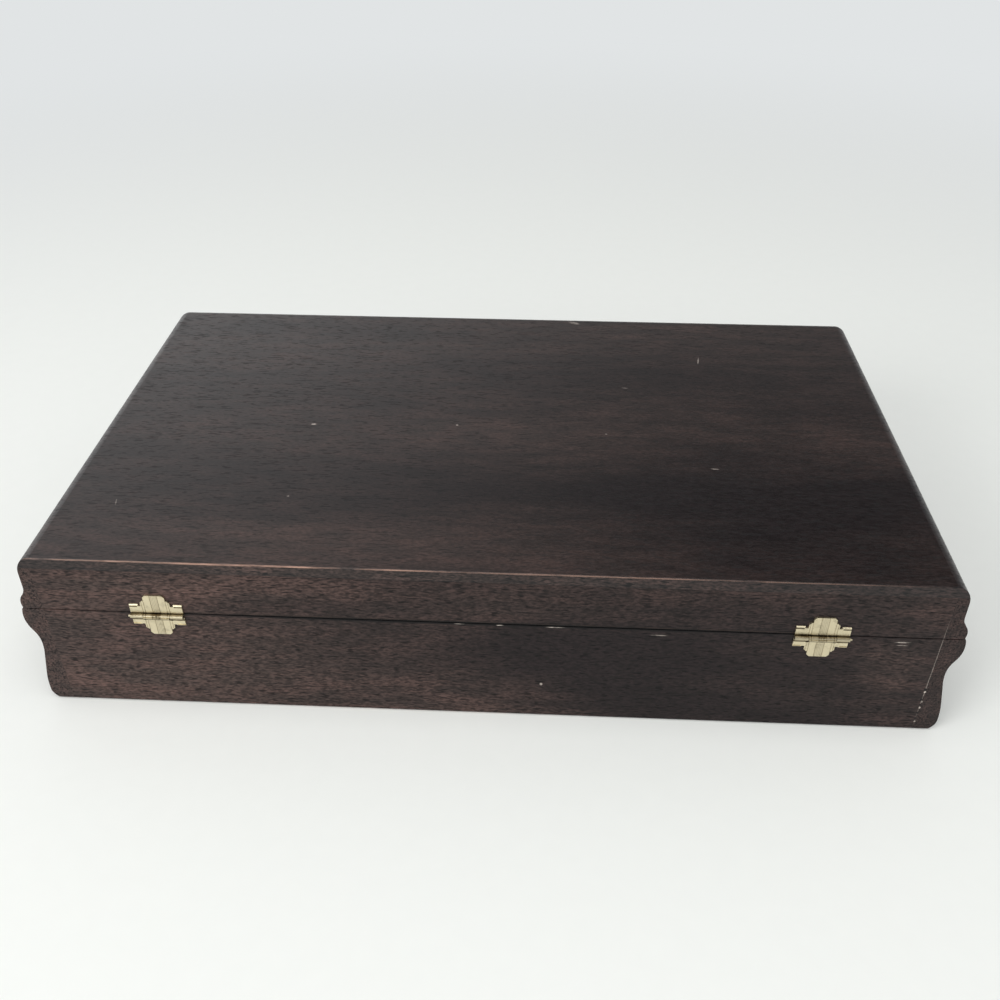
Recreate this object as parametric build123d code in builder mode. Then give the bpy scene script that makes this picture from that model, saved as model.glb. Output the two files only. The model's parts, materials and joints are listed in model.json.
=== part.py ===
"""Silverware chest: a shallow hinged wooden box, lined with cloth and fitted with flatware racks.

Millimetres. +Z is up, +X is to the right as seen from the front, and the front faces -Y.
The origin is the middle of the flat underside that the chest rests on. The box is glued up
whole, moulded on both ends and the front, and sawn into a lid and a base at the seam.
"""
from build123d import *
from math import atan2, cos, degrees, radians, sin
import os

# ---- outside of the box ----
chest_width = 432.0  # across the widest line of the moulding
chest_depth = 256.0  # from the widest line of the front moulding to the flat back
chest_height = 90.4
seam_height = 59.8  # where lid and base are sawn apart
seam_gap = 0.5
seam_groove = 0.3  # the eased edges each side of the seam, on the back
corner_radius = 12.5  # front corners, in plan, at the widest line
back_top_ease = 0.5
back_bottom_ease = 0.7

# ---- moulded edge, as setbacks from the widest line and heights above the table ----
lid_setback = 5.0
lid_round_width = 7.0
lid_round_height = 9.5
cove_top_height = 73.0
cove_start_setback = 4.8
bead_setback = 1.15
bead_height = 63.0
lid_seam_setback = 1.7
base_seam_setback = 0.8
widest_height = 54.3
neck_height = 38.0
neck_setback = 4.4
flare_start_height = 31.0
flare_start_setback = 3.7
flare_end_height = 18.0
flare_end_setback = 1.2
foot_height = 6.5
foot_setback = 0.15
foot_round_width = 4.2

# ---- boards ----
moulded_board = 10.7  # thickness of the side and front boards at the widest line
back_board = 9.5
top_panel = 6.0
bottom_panel = 4.0
bottom_rabbet = 4.5  # how far the bottom panel runs under the boards
panel_clearance = 0.1

# ---- lining: card covered with cloth ----
wall_lining = 1.2
floor_lining = 1.6
top_lining = 1.6
lining_clearance = 0.2
lining_rim = 2.0  # the lining stops this far from the seam

# ---- dividers and flatware racks in the base ----
well_width = 150.0  # open well for the serving pieces, between the dividers
divider = 5.0
divider_height = 42.0
flatware_rack_height = 44.0
flatware_rack_thickness = 14.0
rack_gap = 0.2  # between neighbouring racks of one bay
long_rack_offset = 66.0  # racks of dinner forks and tablespoons, from the middle of the inside
short_rack_offset = 48.0  # racks of salad forks and teaspoons
flatware_count = 8
flatware_pitch = 7.2
flatware_slot_width = 3.2
flatware_slot_depth = 24.0
rack_round = 2.0

# ---- knife racks in the lid ----
knife_count = 8
knife_pitch = 46.0
knife_rack_drop = 17.0
handle_rack_thickness = 16.0
handle_rack_offset = 62.0  # behind the middle of the inside
handle_notch_width = 9.5
handle_notch_depth = 14.0
blade_rack_thickness = 12.0
blade_rack_offset = 58.0  # in front of the middle of the inside
blade_slot_width = 3.2
blade_slot_depth = 14.5

# ---- hinges ----
hinge_inset = 64.6  # from the widest line of an end to the middle of its hinge
hinge_width = 24.4
pin_drop = 0.8  # pin axis below the seam
pin_standoff = 1.5  # pin axis behind the flat back
pin_radius = 0.6
pin_clearance = 0.05
pin_overhang = 1.1
knuckle_radius = 1.15
knuckle_gap = 0.15
leaf_thickness = 0.8
leaf_notch_gap = 0.1
shoulder_reach = 5.4  # reaches are measured from the pin axis along the leaf
tier_reach = 8.6
tier_half_width = 6.8
tier_chamfer = 1.1
tip_reach = 11.8
tip_half_width = 5.1
tip_chamfer = 1.2
crease_width = 0.5  # pressed in just short of a prong's bend
crease_depth = 0.3
crease_length = 3.6  # from the leaf's side
relief_depth = 0.15
relief_width = 0.3
relief_band = 1.75  # half width of the middle band that two of the pressed lines mark off
relief_line = 6.2  # the outer pressed lines, from the leaf's middle
corner_notch_width = 1.4  # cut in the lower leaf beside its knuckles
corner_notch_length = 1.9
prong_width = 4.0  # the shoulder's end, bent over and driven into the wood
prong_length = 6.0
prong_taper = 3.5  # degrees
lid_stop_angle = 105.0  # degrees
heel_radius = 1.6
heel_arc = 30.0  # degrees

# ---- places worked out from the sizes above ----
half_width = chest_width / 2
back_y = chest_depth / 2
front_y = -chest_depth / 2
inner_x = half_width - moulded_board
inner_front_y = front_y + moulded_board
inner_back_y = back_y - back_board
middle_y = (inner_front_y + inner_back_y) / 2
lid_bottom = seam_height + seam_gap / 2
base_top = seam_height - seam_gap / 2
lid_ceiling = chest_height - top_panel
pin_y = back_y + pin_standoff
pin_z = seam_height - pin_drop
corner_x = half_width - corner_radius
corner_y = front_y + corner_radius
hinge_offset = half_width - hinge_inset
half_hinge = hinge_width / 2
prong_x = half_hinge - prong_width / 2
crease_x = half_hinge - crease_length / 2
overcut = 1.0  # how far a cut or a blank reaches past what it has to clear
up = (0, 0, 1)
down = (0, -1)  # in a cross-section


def middle(first, second):
    """The point half way between two points of a cross-section."""
    return ((first[0] + second[0]) / 2, (first[1] + second[1]) / 2)


def outline_half(reach):
    """Draw half a cross-section, from an upright local axis out to the moulded edge."""
    side = reach - lid_setback
    round_start = side - lid_round_width
    round_end = chest_height - lid_round_height
    cove_start = (reach - cove_start_setback, cove_top_height)
    bead = (reach - bead_setback, bead_height)
    lid_edge = (reach - lid_seam_setback, seam_height)
    base_edge = (reach - base_seam_setback, seam_height)
    widest = (reach, widest_height)
    neck = (reach - neck_setback, neck_height)
    flare_start = (reach - flare_start_setback, flare_start_height)
    flare_end = (reach - flare_end_setback, flare_end_height)
    foot = (reach - foot_setback, foot_height)
    sole_edge = (foot[0] - foot_round_width, 0)
    Line((0, chest_height), (round_start, chest_height))
    EllipticalCenterArc((round_start, round_end), lid_round_width, lid_round_height, 0, arc_size=90)
    Line((side, round_end), cove_start)
    cove = TangentArc(cove_start, middle(cove_start, bead), tangent=down)
    TangentArc(middle(cove_start, bead), bead, tangent=cove % 1)
    TangentArc(bead, lid_edge, tangent=down)
    Line(lid_edge, base_edge)
    TangentArc(widest, base_edge, tangent=(0, 1))
    ogee = TangentArc(widest, middle(widest, neck), tangent=down)
    TangentArc(middle(widest, neck), neck, tangent=ogee % 1)
    TangentArc(neck, flare_start, tangent=down)
    flare = Line(flare_start, flare_end)
    TangentArc(flare_end, foot, tangent=flare % 1)
    TangentArc(foot, sole_edge, tangent=down)
    Line(sole_edge, (0, 0))


def edge_section(plane):
    """The moulded edge alone, as wide as a front corner, on one side of a local axis."""
    with BuildSketch(plane) as section:
        with BuildLine():
            outline_half(corner_radius)
            Line((0, 0), (0, chest_height))
        make_face()
    return section.sketch


def corner_plane(side, outwards):
    """An upright plane through a front corner's axis, with its local x pointing outwards."""
    normal = Vector(outwards).cross(Vector(up))
    return Plane(origin=(side * corner_x, corner_y, 0), x_dir=outwards, z_dir=normal)


# what is planed off the flat back, as triangles in Y and Z: the seam's groove and both edges
back_cuts = (
    (
        (back_y + overcut, seam_height - seam_groove - overcut),
        (back_y + overcut, seam_height + seam_groove + overcut),
        (back_y - seam_groove, seam_height),
    ),
    (
        (back_y - back_top_ease - overcut, chest_height + overcut),
        (back_y + overcut, chest_height + overcut),
        (back_y + overcut, chest_height - back_top_ease - overcut),
    ),
    (
        (back_y - back_bottom_ease - overcut, -overcut),
        (back_y + overcut, -overcut),
        (back_y + overcut, back_bottom_ease + overcut),
    ),
)

# ---- the whole moulded block, which every board is a part of ----
with BuildPart() as moulded_block:
    with BuildSketch(Plane.XZ.offset(-back_y)):
        with BuildLine() as end_outline:
            outline_half(half_width)
            mirror(end_outline.line, about=Plane.YZ)
        make_face()
    extrude(amount=back_y - corner_y)
    extrude(edge_section(corner_plane(1, (0, -1, 0))), amount=2 * corner_x)
    for side, outwards in ((1, (0, -1, 0)), (-1, (-1, 0, 0))):
        turned = edge_section(corner_plane(side, outwards))
        revolve(turned, axis=Axis((side * corner_x, corner_y, 0), up), revolution_arc=90)
    with BuildSketch(Plane.YZ.offset(-half_width - overcut)):
        for triangle in back_cuts:
            with BuildLine():
                Polyline(*triangle, close=True)
            make_face()
    extrude(amount=chest_width + 2 * overcut, mode=Mode.SUBTRACT)


def slab(width, depth, bottom, height, centre_x=0.0, centre_y=middle_y):
    """A plain flat piece, standing at a height."""
    with BuildPart() as piece:
        with BuildSketch(Plane.XY.offset(bottom)):
            with Locations((centre_x, centre_y)):
                Rectangle(width, depth)
        extrude(amount=height)
    return piece


def prongs(side, leaf_side):
    """The two tapered prongs of one hinge leaf, driven into the wood."""
    foot_z = pin_z + leaf_side * (shoulder_reach + leaf_thickness / 2)
    root = Plane(origin=(side * hinge_offset, back_y, foot_z), x_dir=(1, 0, 0), z_dir=(0, -1, 0))
    with BuildPart() as pair:
        with BuildSketch(root):
            with Locations((-prong_x, 0), (prong_x, 0)):
                Rectangle(prong_width, leaf_thickness)
        extrude(amount=prong_length, taper=prong_taper)
    return pair.part


# ---- boards of the base and rails of the lid ----
panel_room_width = 2 * (inner_x + bottom_rabbet)
panel_room_depth = inner_back_y - inner_front_y + 2 * bottom_rabbet
blank_x = half_width + overcut
blank_front_y = front_y - overcut
blank_back_y = back_y + overcut

front_plan = (
    (-inner_x, inner_front_y),
    (inner_x, inner_front_y),
    (blank_x, blank_front_y),
    (-blank_x, blank_front_y),
)
back_plan = (
    (-inner_x, inner_back_y),
    (inner_x, inner_back_y),
    (inner_x, blank_back_y),
    (-inner_x, blank_back_y),
)


def end_plan(side):
    """Plan of an end board, mitred to the front board and running past the back board."""
    return (
        (side * inner_x, blank_back_y),
        (side * inner_x, inner_front_y),
        (side * blank_x, blank_front_y),
        (side * blank_x, blank_back_y),
    )


def board(plan, bottom, top):
    """One board between two heights: a blank shaped by the moulded block."""
    with BuildPart() as piece:
        with BuildSketch(Plane.XY.offset(bottom)):
            with BuildLine():
                Polyline(*plan, close=True)
            make_face()
        extrude(amount=top - bottom)
        add(moulded_block.part, mode=Mode.INTERSECT)
    return piece


def base_board(plan, hinged=False):
    """A board of the base, rabbeted for the bottom panel and pierced where hinges are driven in."""
    blank = board(plan, 0, base_top)
    pierced_by = [prongs(-1, -1), prongs(1, -1)] if hinged else []
    with BuildPart() as piece:
        add(blank)
        with BuildSketch(Plane.XY):
            with Locations((0, middle_y)):
                Rectangle(panel_room_width, panel_room_depth)
        extrude(amount=bottom_panel, mode=Mode.SUBTRACT)
        for pair in pierced_by:
            add(pair, mode=Mode.SUBTRACT)
    return piece


base_front_board = base_board(front_plan)
base_back_board = base_board(back_plan, hinged=True)
base_left_board = base_board(end_plan(-1))
base_right_board = base_board(end_plan(1))
base_bottom_panel = slab(
    panel_room_width - 2 * panel_clearance, panel_room_depth - 2 * panel_clearance, 0, bottom_panel
)

lid_front_rail = board(front_plan, lid_bottom, lid_ceiling)
lid_left_rail = board(end_plan(-1), lid_bottom, lid_ceiling)
lid_right_rail = board(end_plan(1), lid_bottom, lid_ceiling)

back_rail_blank = board(back_plan, lid_bottom, lid_ceiling)
lid_prongs = [prongs(-1, 1), prongs(1, 1)]
with BuildPart() as lid_back_rail:
    add(back_rail_blank)
    for pair in lid_prongs:
        add(pair, mode=Mode.SUBTRACT)

with BuildPart() as lid_top_panel:
    with BuildSketch(Plane.XY.offset(lid_ceiling)):
        Rectangle(2 * blank_x, 2 * blank_back_y)
    extrude(amount=top_panel)
    add(moulded_block.part, mode=Mode.INTERSECT)

# ---- linings ----
lined_width = 2 * (inner_x - wall_lining - lining_clearance)
lined_depth = inner_back_y - inner_front_y - 2 * (wall_lining + lining_clearance)
floor_top = bottom_panel + floor_lining
lid_lining_bottom = lid_ceiling - top_lining


def front_lining(bottom, top):
    """Lining of the front wall, over the whole inside width."""
    centre_y = inner_front_y + wall_lining / 2
    return slab(2 * (inner_x - lining_clearance), wall_lining, bottom, top - bottom, 0, centre_y)


def back_lining(bottom, top):
    """Lining of the back wall, over the whole inside width."""
    centre_y = inner_back_y - wall_lining / 2
    return slab(2 * (inner_x - lining_clearance), wall_lining, bottom, top - bottom, 0, centre_y)


def end_lining(side, bottom, top):
    """Lining of an end wall, between the front and back linings."""
    centre_x = side * (inner_x - wall_lining / 2)
    return slab(wall_lining, lined_depth, bottom, top - bottom, centre_x)


base_lining_top = base_top - lining_rim
base_front_lining = front_lining(bottom_panel, base_lining_top)
base_back_lining = back_lining(bottom_panel, base_lining_top)
base_left_lining = end_lining(-1, bottom_panel, base_lining_top)
base_right_lining = end_lining(1, bottom_panel, base_lining_top)
base_floor_lining = slab(lined_width, lined_depth, bottom_panel, floor_lining)

lid_lining_rim = lid_bottom + lining_rim
lid_front_lining = front_lining(lid_lining_rim, lid_ceiling)
lid_back_lining = back_lining(lid_lining_rim, lid_ceiling)
lid_left_lining = end_lining(-1, lid_lining_rim, lid_ceiling)
lid_right_lining = end_lining(1, lid_lining_rim, lid_ceiling)
lid_top_lining = slab(lined_width, lined_depth, lid_lining_bottom, top_lining)

# ---- dividers and flatware racks in the base ----
divider_x = (well_width + divider) / 2
left_divider = slab(divider, lined_depth, floor_top, divider_height, -divider_x)
right_divider = slab(divider, lined_depth, floor_top, divider_height, divider_x)

bay_start_x = well_width / 2 + divider
flatware_rack_width = (lined_width / 2 - bay_start_x - rack_gap) / 2
short_rack_x = bay_start_x + flatware_rack_width / 2
long_rack_x = short_rack_x + flatware_rack_width + rack_gap
slot_floor = floor_top + flatware_rack_height - flatware_slot_depth


def flatware_rack(centre_x, centre_y):
    """A slotted bar that holds a row of forks or spoons on edge, its upper edges rounded."""
    with BuildPart() as rack:
        with BuildSketch(Plane.XY.offset(floor_top)):
            with Locations((centre_x, centre_y)):
                Rectangle(flatware_rack_width, flatware_rack_thickness)
        extrude(amount=flatware_rack_height)
        fillet(rack.faces().sort_by(Axis.Z)[-1].edges().filter_by(Axis.X), rack_round)
        with BuildSketch(Plane.XY.offset(slot_floor)):
            with Locations((centre_x, centre_y)):
                with GridLocations(flatware_pitch, 0, flatware_count, 1):
                    Rectangle(flatware_slot_width, flatware_rack_thickness + 2 * overcut)
        extrude(amount=flatware_slot_depth + overcut, mode=Mode.SUBTRACT)
    return rack


dinner_fork_front_rack = flatware_rack(-long_rack_x, middle_y - long_rack_offset)
dinner_fork_rear_rack = flatware_rack(-long_rack_x, middle_y + long_rack_offset)
salad_fork_front_rack = flatware_rack(-short_rack_x, middle_y - short_rack_offset)
salad_fork_rear_rack = flatware_rack(-short_rack_x, middle_y + short_rack_offset)
teaspoon_front_rack = flatware_rack(short_rack_x, middle_y - short_rack_offset)
teaspoon_rear_rack = flatware_rack(short_rack_x, middle_y + short_rack_offset)
tablespoon_front_rack = flatware_rack(long_rack_x, middle_y - long_rack_offset)
tablespoon_rear_rack = flatware_rack(long_rack_x, middle_y + long_rack_offset)


# ---- knife racks in the lid ----
def knife_rack(centre_y, thickness, slot_width, slot_depth):
    """A bar under the lid's top lining, with a row of slots that open downwards."""
    rack_bottom = lid_lining_bottom - knife_rack_drop
    with BuildPart() as rack:
        with BuildSketch(Plane.XY.offset(rack_bottom)):
            with Locations((0, centre_y)):
                Rectangle(lined_width, thickness)
        extrude(amount=knife_rack_drop)
        fillet(rack.faces().sort_by(Axis.Z)[0].edges().filter_by(Axis.X), rack_round)
        with BuildSketch(Plane.XY.offset(rack_bottom - overcut)):
            with Locations((0, centre_y)):
                with GridLocations(knife_pitch, 0, knife_count, 1):
                    Rectangle(slot_width, thickness + 2 * overcut)
        extrude(amount=slot_depth + overcut, mode=Mode.SUBTRACT)
    return rack


knife_handle_rack = knife_rack(
    middle_y + handle_rack_offset, handle_rack_thickness, handle_notch_width, handle_notch_depth
)
knife_blade_rack = knife_rack(
    middle_y - blade_rack_offset, blade_rack_thickness, blade_slot_width, blade_slot_depth
)

# ---- hinges ----
quarter_hinge = hinge_width / 4
notch_reach = knuckle_radius + leaf_notch_gap
leaf_face = leaf_thickness - pin_standoff  # outer face of a leaf, from the pin axis
heel_slack = 1.0  # degrees between the fully open leaf and the heel
heel_start = lid_stop_angle + degrees(atan2(leaf_face, heel_radius)) + heel_slack

# stretches of the barrel, along the hinge from its centre
lid_knuckles = (
    (-half_hinge, -quarter_hinge - knuckle_gap / 2),
    (quarter_hinge + knuckle_gap / 2, half_hinge),
)
base_knuckles = (
    (-quarter_hinge + knuckle_gap / 2, -knuckle_gap / 2),
    (knuckle_gap / 2, quarter_hinge - knuckle_gap / 2),
)
# pressed lines, as distance from the leaf's middle and how far they reach
relief_lines = (
    (relief_band, tip_reach - relief_width),
    (tip_half_width, tier_reach),
    (relief_line, tier_reach - tier_chamfer),
)


def leaf_outline(leaf_side):
    """Stepped plate of a leaf: shoulders, tier and tip, drawn from the knuckle outwards."""
    right_half = (
        (half_hinge, notch_reach),
        (half_hinge, shoulder_reach),
        (tier_half_width, shoulder_reach),
        (tier_half_width, tier_reach - tier_chamfer),
        (tier_half_width - tier_chamfer, tier_reach),
        (tip_half_width, tier_reach),
        (tip_half_width, tip_reach - tip_chamfer),
        (tip_half_width - tip_chamfer, tip_reach),
    )
    right = [(x, leaf_side * reach) for x, reach in right_half]
    left = [(-x, leaf_side * reach) for x, reach in reversed(right_half)]
    Polyline(*right, *left, close=True)


def bend_outline(leaf_side):
    """Rounded bend of the sheet at the end of a shoulder, where it turns into the wood."""
    root = leaf_side * shoulder_reach
    crown = leaf_thickness * cos(radians(45))
    ThreePointArc(
        (leaf_thickness, root),
        (crown, root + leaf_side * crown),
        (0, root + leaf_side * leaf_thickness),
    )
    Polyline((0, root + leaf_side * leaf_thickness), (0, root), (leaf_thickness, root))


def heel_outline():
    """Small rib on a knuckle of the base, which the lid's leaf meets when the lid is fully open."""
    first = radians(heel_start)
    last = radians(heel_start + heel_arc)
    between = (first + last) / 2
    outer = [(heel_radius * sin(turn), heel_radius * cos(turn)) for turn in (first, between, last)]
    inner = [(knuckle_radius * sin(turn) / 2, knuckle_radius * cos(turn) / 2) for turn in (last, first)]
    ThreePointArc(*outer)
    Polyline(outer[2], inner[0], inner[1], outer[0])


def hinge_leaf(side, leaf_side, knuckles, bore_radius, lower):
    """One stamped leaf; leaf_side is 1 on the lid and -1 on the base, whose leaf is the lower one."""
    centre_x = side * hinge_offset
    face = Plane(origin=(centre_x, back_y, pin_z), x_dir=(-1, 0, 0), z_dir=(0, 1, 0))
    crease_reach = leaf_side * (shoulder_reach - crease_width / 2)
    notch_middle = leaf_side * (notch_reach + corner_notch_length / 2)
    bore_start = Plane(origin=(centre_x - half_hinge - overcut, pin_y, pin_z), z_dir=(1, 0, 0))
    prong_pair = prongs(side, leaf_side)
    with BuildPart() as leaf:
        with BuildSketch(face):
            with BuildLine():
                leaf_outline(leaf_side)
            make_face()
        extrude(amount=leaf_thickness)
        for start, end in knuckles:
            section = Plane(
                origin=(centre_x + start, pin_y, pin_z), x_dir=(0, 1, 0), z_dir=(1, 0, 0)
            )
            with BuildSketch(section):
                Circle(knuckle_radius)
                with Locations((leaf_face - leaf_thickness / 2, leaf_side * notch_reach / 2)):
                    Rectangle(leaf_thickness, notch_reach)
                if lower:
                    with BuildLine():
                        heel_outline()
                    make_face()
            extrude(amount=end - start)
        with BuildSketch(bore_start):
            Circle(bore_radius)
        extrude(amount=hinge_width + 2 * overcut, mode=Mode.SUBTRACT)
        for start in (-half_hinge, half_hinge - prong_width):
            bend = Plane(origin=(centre_x + start, back_y, pin_z), x_dir=(0, 1, 0), z_dir=(1, 0, 0))
            with BuildSketch(bend):
                with BuildLine():
                    bend_outline(leaf_side)
                make_face()
            extrude(amount=prong_width)
        with BuildSketch(face.offset(leaf_thickness - crease_depth)):
            with Locations((-crease_x, crease_reach), (crease_x, crease_reach)):
                Rectangle(crease_length, crease_width)
        extrude(amount=crease_depth + overcut, mode=Mode.SUBTRACT)
        if lower:
            with BuildSketch(face):
                with Locations((-quarter_hinge, notch_middle), (quarter_hinge, notch_middle)):
                    Rectangle(corner_notch_width, corner_notch_length)
            extrude(amount=leaf_thickness, mode=Mode.SUBTRACT)
        with BuildSketch(face.offset(leaf_thickness - relief_depth)):
            for line_x, line_reach in relief_lines:
                line_middle = leaf_side * (notch_reach + line_reach) / 2
                with Locations((-line_x, line_middle), (line_x, line_middle)):
                    Rectangle(relief_width, line_reach - notch_reach)
        extrude(amount=relief_depth + overcut, mode=Mode.SUBTRACT)
        add(prong_pair)
    return leaf


def hinge_pin(side):
    """The pin, held by the base leaf's knuckles, with its outer end standing out a little."""
    outer_x = side * (hinge_offset + half_hinge + pin_overhang)
    with BuildPart() as pin:
        with BuildSketch(Plane(origin=(outer_x, pin_y, pin_z), z_dir=(-side, 0, 0))):
            Circle(pin_radius)
        extrude(amount=hinge_width + pin_overhang)
        outer_end = pin.faces().sort_by(Axis.X)[0 if side < 0 else -1]
        fillet(outer_end.edges(), pin_radius / 3)
    return pin


lid_bore = pin_radius + pin_clearance
left_hinge_upper_leaf = hinge_leaf(-1, 1, lid_knuckles, lid_bore, lower=False)
right_hinge_upper_leaf = hinge_leaf(1, 1, lid_knuckles, lid_bore, lower=False)
left_hinge_lower_leaf = hinge_leaf(-1, -1, base_knuckles, pin_radius, lower=True)
right_hinge_lower_leaf = hinge_leaf(1, -1, base_knuckles, pin_radius, lower=True)
left_hinge_pin = hinge_pin(-1)
right_hinge_pin = hinge_pin(1)

# ---- write every piece ----
pieces = {
    "base_front_board": base_front_board,
    "base_back_board": base_back_board,
    "base_left_board": base_left_board,
    "base_right_board": base_right_board,
    "base_bottom_panel": base_bottom_panel,
    "base_front_lining": base_front_lining,
    "base_back_lining": base_back_lining,
    "base_left_lining": base_left_lining,
    "base_right_lining": base_right_lining,
    "base_floor_lining": base_floor_lining,
    "left_divider": left_divider,
    "right_divider": right_divider,
    "dinner_fork_front_rack": dinner_fork_front_rack,
    "dinner_fork_rear_rack": dinner_fork_rear_rack,
    "salad_fork_front_rack": salad_fork_front_rack,
    "salad_fork_rear_rack": salad_fork_rear_rack,
    "teaspoon_front_rack": teaspoon_front_rack,
    "teaspoon_rear_rack": teaspoon_rear_rack,
    "tablespoon_front_rack": tablespoon_front_rack,
    "tablespoon_rear_rack": tablespoon_rear_rack,
    "lid_top_panel": lid_top_panel,
    "lid_front_rail": lid_front_rail,
    "lid_back_rail": lid_back_rail,
    "lid_left_rail": lid_left_rail,
    "lid_right_rail": lid_right_rail,
    "lid_top_lining": lid_top_lining,
    "lid_front_lining": lid_front_lining,
    "lid_back_lining": lid_back_lining,
    "lid_left_lining": lid_left_lining,
    "lid_right_lining": lid_right_lining,
    "knife_handle_rack": knife_handle_rack,
    "knife_blade_rack": knife_blade_rack,
    "left_hinge_upper_leaf": left_hinge_upper_leaf,
    "right_hinge_upper_leaf": right_hinge_upper_leaf,
    "left_hinge_lower_leaf": left_hinge_lower_leaf,
    "right_hinge_lower_leaf": right_hinge_lower_leaf,
    "left_hinge_pin": left_hinge_pin,
    "right_hinge_pin": right_hinge_pin,
}
os.makedirs("parts", exist_ok=True)
for label, piece in pieces.items():
    piece.part.label = label
    export_step(piece.part, f"parts/{label}.step")
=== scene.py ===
"""Looks of a silverware chest: stained mahogany box, cloth-lined inside, with two small brass hinges.

Run as a script, it dresses the packed model and sets up a pale studio. All lengths are metres
unless a name or comment says millimetres.
"""

import json
import math

import bmesh
import bpy
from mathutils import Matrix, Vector, noise

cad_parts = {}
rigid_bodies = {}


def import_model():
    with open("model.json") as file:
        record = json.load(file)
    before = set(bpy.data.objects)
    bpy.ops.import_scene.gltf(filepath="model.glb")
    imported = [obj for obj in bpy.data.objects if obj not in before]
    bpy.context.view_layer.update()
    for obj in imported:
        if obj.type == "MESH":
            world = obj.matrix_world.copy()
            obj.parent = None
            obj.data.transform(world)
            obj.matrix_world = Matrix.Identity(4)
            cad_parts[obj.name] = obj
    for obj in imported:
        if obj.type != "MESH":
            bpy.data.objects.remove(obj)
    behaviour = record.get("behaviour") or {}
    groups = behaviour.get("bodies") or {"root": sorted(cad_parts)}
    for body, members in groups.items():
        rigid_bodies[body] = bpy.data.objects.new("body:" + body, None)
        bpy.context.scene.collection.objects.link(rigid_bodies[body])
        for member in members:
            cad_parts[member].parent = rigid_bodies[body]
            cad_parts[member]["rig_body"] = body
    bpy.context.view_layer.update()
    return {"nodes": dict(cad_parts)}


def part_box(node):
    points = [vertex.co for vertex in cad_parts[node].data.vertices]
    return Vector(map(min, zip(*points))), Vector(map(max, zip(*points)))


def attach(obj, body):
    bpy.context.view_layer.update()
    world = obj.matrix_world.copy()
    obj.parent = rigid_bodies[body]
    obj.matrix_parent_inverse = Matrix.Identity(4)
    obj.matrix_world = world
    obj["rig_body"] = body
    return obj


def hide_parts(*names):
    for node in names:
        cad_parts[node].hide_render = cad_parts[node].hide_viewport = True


bl_info = {
    "name": "Silverware chest",
    "version": (1, 0, 0),
    "blender": (4, 5, 0),
    "location": "3D View > Sidebar > Chest",
    "description": "Wood, cloth, brass and studio of a silverware chest around its packed model",
    "category": "Object",
}

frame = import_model()
MM = 0.001

# sockets of a colour Mix node, which share their names with the other kinds of Mix
MIX_FACTOR, MIX_A, MIX_B, MIXED = 0, 6, 7, 2
ALONG_X, ALONG_Y, ALONG_Z = 0, 1, 2
# a soft-edged mark has its full strength up to this share of its half size
FULL_STRENGTH = 0.35


# ---- colours, nodes and patterns ----
def linear(code, alpha=1.0):
    """An sRGB hex colour as linear red, green, blue and alpha."""
    channels = [int(code[i:i + 2], 16) / 255 for i in (1, 3, 5)]
    rgb = [c / 12.92 if c <= 0.04045 else ((c + 0.055) / 1.055) ** 2.4 for c in channels]
    return (*rgb, alpha)


def add_node(tree, kind, inputs=None, **settings):
    """Add one node with its settings; an input is a plain value or another node's output."""
    node = tree.nodes.new(kind)
    for name, value in settings.items():
        setattr(node, name, value)
    for socket, value in (inputs or {}).items():
        if isinstance(value, bpy.types.NodeSocket):
            tree.links.new(value, node.inputs[socket])
        else:
            node.inputs[socket].default_value = value
    return node


def start_material(name):
    """A new material with its node tree, its shader and the place on the object at rest."""
    material = bpy.data.materials.new(name)
    material.use_nodes = True
    tree = material.node_tree
    tree.nodes.clear()
    shader = add_node(tree, "ShaderNodeBsdfPrincipled")
    add_node(tree, "ShaderNodeOutputMaterial", {"Surface": shader.outputs[0]})
    place = add_node(tree, "ShaderNodeTexCoord").outputs["Object"]
    return material, tree, shader, place


def finish_shader(tree, shader, colour, roughness, height, depth):
    """Link colour, roughness and a height of real depth to the shader."""
    bump = add_node(tree, "ShaderNodeBump", {"Height": height, "Distance": depth})
    tree.links.new(colour, shader.inputs["Base Color"])
    tree.links.new(roughness, shader.inputs["Roughness"])
    tree.links.new(bump.outputs[0], shader.inputs["Normal"])


def streaks(tree, place, axis, along, across, detail=2.0, distortion=0.0):
    """Noise drawn out along one axis, from the real length and width of its streaks."""
    sizes = [across, across, across]
    sizes[axis] = along
    stretched = add_node(
        tree, "ShaderNodeVectorMath", {0: place, 1: [1 / size for size in sizes]}, operation="MULTIPLY"
    )
    return add_node(
        tree, "ShaderNodeTexNoise",
        {"Vector": stretched.outputs[0], "Scale": 1.0, "Detail": detail, "Distortion": distortion},
    ).outputs["Fac"]


def patches(tree, place, size, detail):
    """Even noise, from the real size of its patches."""
    return add_node(
        tree, "ShaderNodeTexNoise", {"Vector": place, "Scale": 1 / size, "Detail": detail}
    ).outputs["Fac"]


def ribs(tree, place, spacing, distortion, detail, direction="X"):
    """Parallel ribs from their real spacing; a wave has about 3.14 ribs for each unit of its scale."""
    return add_node(
        tree, "ShaderNodeTexWave",
        {"Vector": place, "Scale": 1 / (math.pi * spacing), "Distortion": distortion, "Detail": detail},
        bands_direction=direction,
    ).outputs["Fac"]


def ramp(tree, value, low, high, to_low=0.0, to_high=1.0):
    """A value brought from one range to another, eased at both ends."""
    return add_node(
        tree, "ShaderNodeMapRange",
        {"Value": value, "From Min": low, "From Max": high, "To Min": to_low, "To Max": to_high},
        interpolation_type="SMOOTHSTEP",
    ).outputs[0]


def blend(tree, factor, first, second, how="MIX"):
    """Two colours mixed, or laid over each other."""
    return add_node(
        tree, "ShaderNodeMix", {MIX_FACTOR: factor, MIX_A: first, MIX_B: second},
        data_type="RGBA", blend_type=how,
    ).outputs[MIXED]


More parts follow.
